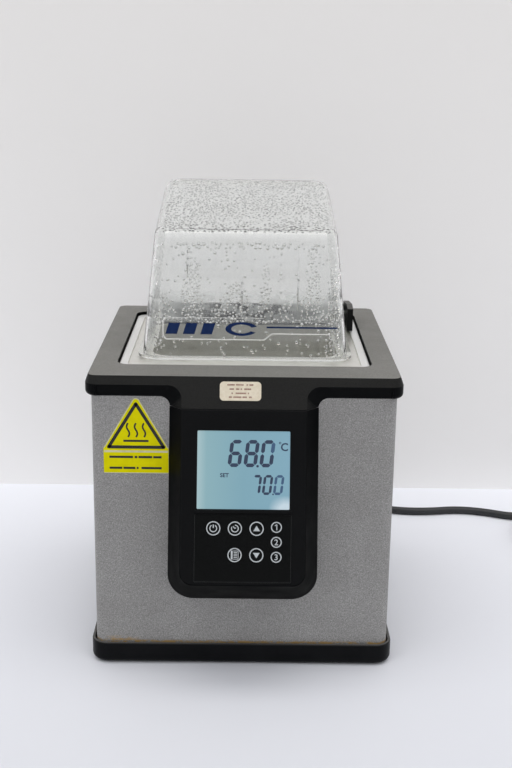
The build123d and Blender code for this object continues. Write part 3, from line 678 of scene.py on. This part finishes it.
# ---- stickers
def sticker_print():
    """A hot-surface sign: a black triangle round three rising waves over a plate, and plain bars below.
    All is across from the casing's middle and up from the collar's top."""
    apex, left, right, low, line = (-67.5, -18.6), -84.9, -50.3, -47.0, 2.1
    corners = [apex, (right, low), (left, low), apex]
    black = strip(corners, line)
    for x, y in corners[:3]:
        black += arc(x, y, line / 4, line / 2, steps=16)
    foot, tall, swing, steps = -40.4, 9.2, 0.9, 10
    for x in (-72.6, -67.6, -62.6):
        wave = [(x + swing * sin(t / steps * 2 * pi), foot + tall * t / steps) for t in range(steps + 1)]
        black += strip(wave, 1.1)
    black.append(oblong(-75.6, -43.6, -59.8, -42.2))
    black += dashes([(-53.6, 5), (-60.9, 6)], -84.6, -51.0, 1.5, 11)
    edge = strip([(-88.0, -64.2), (-47.6, -64.2)], 0.4) + strip([(-87.9, -49.9), (-47.7, -49.9)], 1.3)
    edge += strip([(-87.8, -47.5), (-69.4, -16.4)], 0.6) + strip([(-65.6, -16.4), (-47.8, -47.5)], 0.6)
    edge += arc(-67.5, -17.4, 2.2, 0.6, 30, 150, 12)
    surface_at = corner("caution_sticker", 0, 1) - FRONT
    printed("caution_sign", [(edge, "vinyl_edge"), (black, "black_print")],
            lambda x, y: spot(x, surface_at - PRINT_OFF, HEIGHT + y), "bath")


def dashes(rows, left, right, thick, seed):
    """Rows of plain short bars where a label would have small print; each row is a height and a count."""
    space, shortest = 0.7, 0.5
    pick = random.Random(seed)
    shapes = []
    for y, count in rows:
        cuts = sorted(pick.uniform(0.12, 0.88) for _ in range(count - 1))
        edges = [0.0] + cuts + [1.0]
        for a, b in zip(edges, edges[1:]):
            x0, x1 = left + (right - left) * a, left + (right - left) * b - space
            if x1 - x0 > shortest:
                shapes.append(oblong(x0, y - thick / 2, x1, y + thick / 2))
    return shapes


def note_print():
    """The small label's four rows of plain bars."""
    left, right, first_seed = -10.6, 6.2, 20
    rows = [(-5.0, 6, 0.0), (-7.6, 6, 1.4), (-10.2, 5, 2.6), (-12.6, 6, 1.0)]  # height, bars and inset
    shapes = []
    for index, (y, count, inset) in enumerate(rows):
        shapes += dashes([(y, count)], left + inset, right - inset, 1.0, first_seed + index)
    printed("note_print", [(shapes, "brown_print")], lambda x, y: on_face(x, -y, FACE_PRINT), "bath")


# ---- the lid's printing and its condensation
LID_LOW, LID_FOLD, LID_PEAK = HEIGHT - 2.9, HEIGHT + 80.5, HEIGHT + 107.5  # foot, front fold and back peak
LID_FRONT_LOW, LID_FRONT_HIGH = 54.5, 57.5  # how far back the front wall is, at its foot and at the fold
LID_BACK_HIGH = 153.0  # how far back the peak is
LID_HALF_LOW, LID_HALF_HIGH = 68.3, 60.0  # half the width, at the foot and at the fold
LID_WALL = 1.6
TOP_INNER, WALL_INNER = LID_WALL * 1.03, LID_WALL * 1.01  # from the outside to the feet of the drops


def lid_front(x, up, proud=0.0):
    """A point on the lid's front wall, up from the collar's top; proud of it is towards the front."""
    share = (HEIGHT + up - LID_LOW) / (LID_FOLD - LID_LOW)
    return spot(x, LID_FRONT_LOW + (LID_FRONT_HIGH - LID_FRONT_LOW) * share - proud, HEIGHT + up)


def lid_decal():
    """A pale outline that steps up beside a navy rule, with three plain slanted bars and a ring."""
    outline = strip([(-52, 24.5), (-54, 22.5), (-54, 12.5), (-52, 10), (12.5, 10), (17.5, 14.2),
                     (56, 14.2)], 0.7)
    outline += strip([(-52, 24.5), (12, 24.5)], 0.3)
    navy = [oblong(14.0, 17.9, 60.6, 19.0)]
    for x in (-52.5, -41.0, -29.5):
        navy.append([(x, 13.4), (x + 7.6, 13.4), (x + 9.8, 20.8), (x + 2.2, 20.8)])
    ring = arc(0, 0, 4.6, 2.0, 20, 330, 48)
    navy += [[(-2.4 + px * 1.9, 17.2 + py * 0.82) for px, py in shape] for shape in ring]
    printed("lid_decal", [(outline, "frost"), (navy, "navy")],
            lambda x, y: lid_front(x, y, PRINT_OFF), "lid")


# a drop's dome, as rings: each one's share of the radius, and of the height
DOME = ((1.0, 0.0), (0.82, 0.55), (0.45, 0.88))
DROP_SIDES = 8


def drop(build, base, normal, along, radius, tall, long=1.0):
    """One bead of water: a low dome on a surface, drawn out along a direction."""
    across = normal.cross(along)
    rings = []
    for share, rise in DOME:
        ring = []
        for i in range(DROP_SIDES):
            turn = 2 * pi * i / DROP_SIDES
            offset = across * (radius * share * cos(turn)) + along * (radius * long * share * sin(turn))
            ring.append(build.verts.new(base + offset + normal * (tall * rise)))
        rings.append(ring)
    top = build.verts.new(base + normal * tall)
    for low, high in zip(rings, rings[1:]):
        for i in range(DROP_SIDES):
            j = (i + 1) % DROP_SIDES
            build.faces.new((low[i], low[j], high[j], high[i]))
    for i in range(DROP_SIDES):
        build.faces.new((rings[-1][i], rings[-1][(i + 1) % DROP_SIDES], top))
    build.faces.new(list(reversed(rings[0])))


# groups of beads on the front wall: middle, half width, foot, top, and how close they lie
BEADS = [
    (-35, 10, 21, 64, 1.0), (-51, 7, 21, 40, 0.7), (-8, 17, 20, 48, 0.8), (13, 6, 21, 60, 0.9),
    (27, 5, 21, 36, 0.5), (44, 9, 20, 78, 0.95), (58, 7, -1, 60, 1.0), (0, 75, 70, 78, 0.55),
    (-57, 5, 2, 30, 0.35), (0, 60, 21, 29, 0.45),
]
# thin runs on the front wall: middle, height and half length
RUNS = [(34.2, 48, 21), (-2.4, 41, 12), (-38.0, 60, 9)]
RUN_RADIUS = 0.5
TOP_TRIES, FRONT_TRIES, SIDE_TRIES = 7000, 9000, 1500


def beads_kept(x, up, middle_x, half, foot, top, close):
    """The share of drops that stay at a point for one group: a flame, narrow at its top."""
    if not foot < up < top:
        return 0.0
    reach = half * (1 - 0.6 * (up - foot) / (top - foot))
    return close * max(0.0, 1 - (abs(x - middle_x) / reach) ** 2)


def fits(taken, wall, x, y, radius):
    """Whether a drop fits between those already on its wall; if it does, it takes its place there."""
    cell, room = 3.0, 1.02
    column, row = int(x // cell), int(y // cell)
    for i in range(column - 1, column + 2):
        for j in range(row - 1, row + 2):
            for ox, oy, other in taken.get((wall, i, j), ()):
                if hypot(x - ox, y - oy) < (radius + other) * room:
                    return False
    taken.setdefault((wall, column, row), []).append((x, y, radius))
    return True


def top_drops(build, pick, taken):
    """Close small drops under the sloping top, and larger ones along its front fold."""
    slope = (LID_PEAK - LID_FOLD) / (LID_BACK_HIGH - LID_FRONT_HIGH)
    inward = Vector((0, slope, -1)).normalized()
    along = Vector((0, 1, slope)).normalized()
    for _ in range(TOP_TRIES):
        x, back = pick.uniform(-54, 54), pick.uniform(61, 146)
        size = pick.triangular(0.3, 0.85, 0.5) * (1.4 if back < 70 else 1.0)
        keep = 0.62 + 0.6 * noise.noise((x / 22, back / 22, 3.1))
        if pick.random() > keep or not fits(taken, "top", x, back, size):
            continue
        base = spot(x, back, LID_FOLD + (back - LID_FRONT_HIGH) * slope - TOP_INNER)
        drop(build, base, inward, along, size * MM, size * 0.24 * MM, pick.uniform(0.9, 1.15))


def front_drops(build, pick, taken):
    """Upright bands of drops on the front wall with cleared runs between them, and a few thin runs."""
    lean = (LID_FRONT_HIGH - LID_FRONT_LOW) / (LID_FOLD - LID_LOW)
    inward = Vector((0, 1, -lean)).normalized()
    along = Vector((0, lean, 1)).normalized()
    for _ in range(FRONT_TRIES):
        x, up = pick.uniform(-60, 62), pick.uniform(-1, 74)
        keep = 0.03 + max(beads_kept(x, up, *group) for group in BEADS)
        keep *= 0.75 + 0.7 * noise.noise((x / 4, up / 12, 8.4))
        size = pick.triangular(0.4, 1.15, 0.7) * (1.2 if up > 66 else 1.0)
        if pick.random() > keep or not fits(taken, "front", x, up, size):
            continue
        drop(build, lid_front(x, up, -WALL_INNER), inward, along, size * MM, size * 0.7 * MM,
             pick.uniform(1.0, 1.35))
    for x, up, half_length in RUNS:
        drop(build, lid_front(x, up, -WALL_INNER), inward, along, RUN_RADIUS * MM, RUN_RADIUS * MM,
             half_length / RUN_RADIUS)


def side_drops(build, pick, taken, side):
    """Streaks of drops on one side wall."""
    draft = (LID_HALF_LOW - LID_HALF_HIGH) / (LID_FOLD - LID_LOW)
    inward = Vector((-side, 0, -draft)).normalized()
    along = Vector((-side * draft, 0, 1)).normalized()
    for _ in range(SIDE_TRIES):
        back, up = pick.uniform(68, 142), pick.uniform(4, 72)
        size = pick.triangular(0.35, 0.95, 0.5)
        keep = 0.30 + 0.8 * noise.noise((back / 12, up / 40, 5.0 + side))
        if pick.random() > keep or not fits(taken, side, back, up, size):
            continue
        half = LID_HALF_LOW - draft * (HEIGHT + up - LID_LOW) - WALL_INNER
        drop(build, spot(side * half, back, HEIGHT + up), inward, along, size * MM, size * 0.5 * MM, 1.1)


def condensation():
    """Drops on the inside of the lid's top, front and sides, as one piece. They share one run of random
    numbers, and what each wall already holds."""
    pick = random.Random(41)
    build = bmesh.new()
    taken = {}
    top_drops(build, pick, taken)
    front_drops(build, pick, taken)
    for side in (-1, 1):
        side_drops(build, pick, taken, side)
    mesh = bpy.data.meshes.new("condensation")
    build.to_mesh(mesh)
    build.free()
    for face in mesh.polygons:
        face.use_smooth = True
    mesh.materials.append(FINISH["water"])
    drops = bpy.data.objects.new("condensation", mesh)
    bpy.context.collection.objects.link(drops)
    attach(drops, "lid")


# ---- the room
ROOM = 3.0  # how far the bench top reaches each way and the wall goes up, in metres
WALL_BACK = 330  # how far the wall is behind the collar's front edge, in millimetres


def flat_stage(name, corners, finish):
    """A flat four-cornered piece of the room, which isn't part of the object."""
    mesh = bpy.data.meshes.new(name)
    mesh.from_pydata([tuple(c) for c in corners], [], [(0, 1, 2, 3)])
    piece = bpy.data.objects.new(name, mesh)
    bpy.context.collection.objects.link(piece)
    mesh.materials.append(finish)


def area_light(name, where, towards, size, power, tint):
    """A rectangular lamp at one point that faces another, in metres."""
    data = bpy.data.lights.new(name, "AREA")
    data.shape = "RECTANGLE"
    data.size, data.size_y = size
    data.energy = power
    data.color = linear(tint)[:3]
    light = bpy.data.objects.new(name, data)
    light.location = where
    light.rotation_euler = (Vector(towards) - Vector(where)).to_track_quat("-Z", "Y").to_euler()
    bpy.context.collection.objects.link(light)


def backdrop(name, axis, span, one, other, rough):
    """A matt surface whose pale colour changes a little along one axis, which evens out the light on it."""
    made, tree, shader = material(name)
    along = spread(tree, coordinates(tree)[axis], *span)
    setup(tree, shader, {"Base Color": mixed(tree, along, one, other),
                         "Roughness": rough, **DULL})
    return made


def add_room():
    """A pale bench top against a pale wall, under broad soft light."""
    meets = spot(0, WALL_BACK, 0).y
    bench = backdrop("pale bench top", "Y", (-0.55, meets), "#c8cad0", "#eef0f6", 0.55)
    wall = backdrop("pale wall", "Z", (0.0, 0.45), "#fdfcfb", "#f6f4f1", 0.9)
    flat_stage("floor", [(-ROOM, -ROOM, 0), (ROOM, -ROOM, 0), (ROOM, ROOM, 0), (-ROOM, ROOM, 0)], bench)
    flat_stage("wall", [(-ROOM, meets, 0), (ROOM, meets, 0), (ROOM, meets, ROOM), (-ROOM, meets, ROOM)],
               one_sided(wall))
    world = bpy.data.worlds.new("room light")
    world.use_nodes = True
    tree = world.node_tree
    way = add(tree, "ShaderNodeTexCoord").outputs["Generated"]
    upward = add(tree, "ShaderNodeSeparateXYZ", {"Vector": way}).outputs["Z"]
    overhead = spread(tree, upward, 0.1, 0.8, 0.50, 1.45)
    setup(tree, tree.nodes["Background"], {"Strength": overhead, "Color": linear("#f9f9fb")})
    bpy.context.scene.world = world
    area_light("overhead panel", (0.0, 0.05, 2.3), (0, 0.05, 0.0), (2.4, 1.2), 14, "#fffbf5")


def main():
    """Builds every visible piece on the frame, and the room."""
    add_camera()
    mains_lead()
    dress_nodes()
    display_figures()
    overlay_edge()
    print_keys()
    sticker_print()
    note_print()
    lid_decal()
    condensation()
    add_room()
    bpy.context.scene.view_settings.view_transform = "Standard"


main()
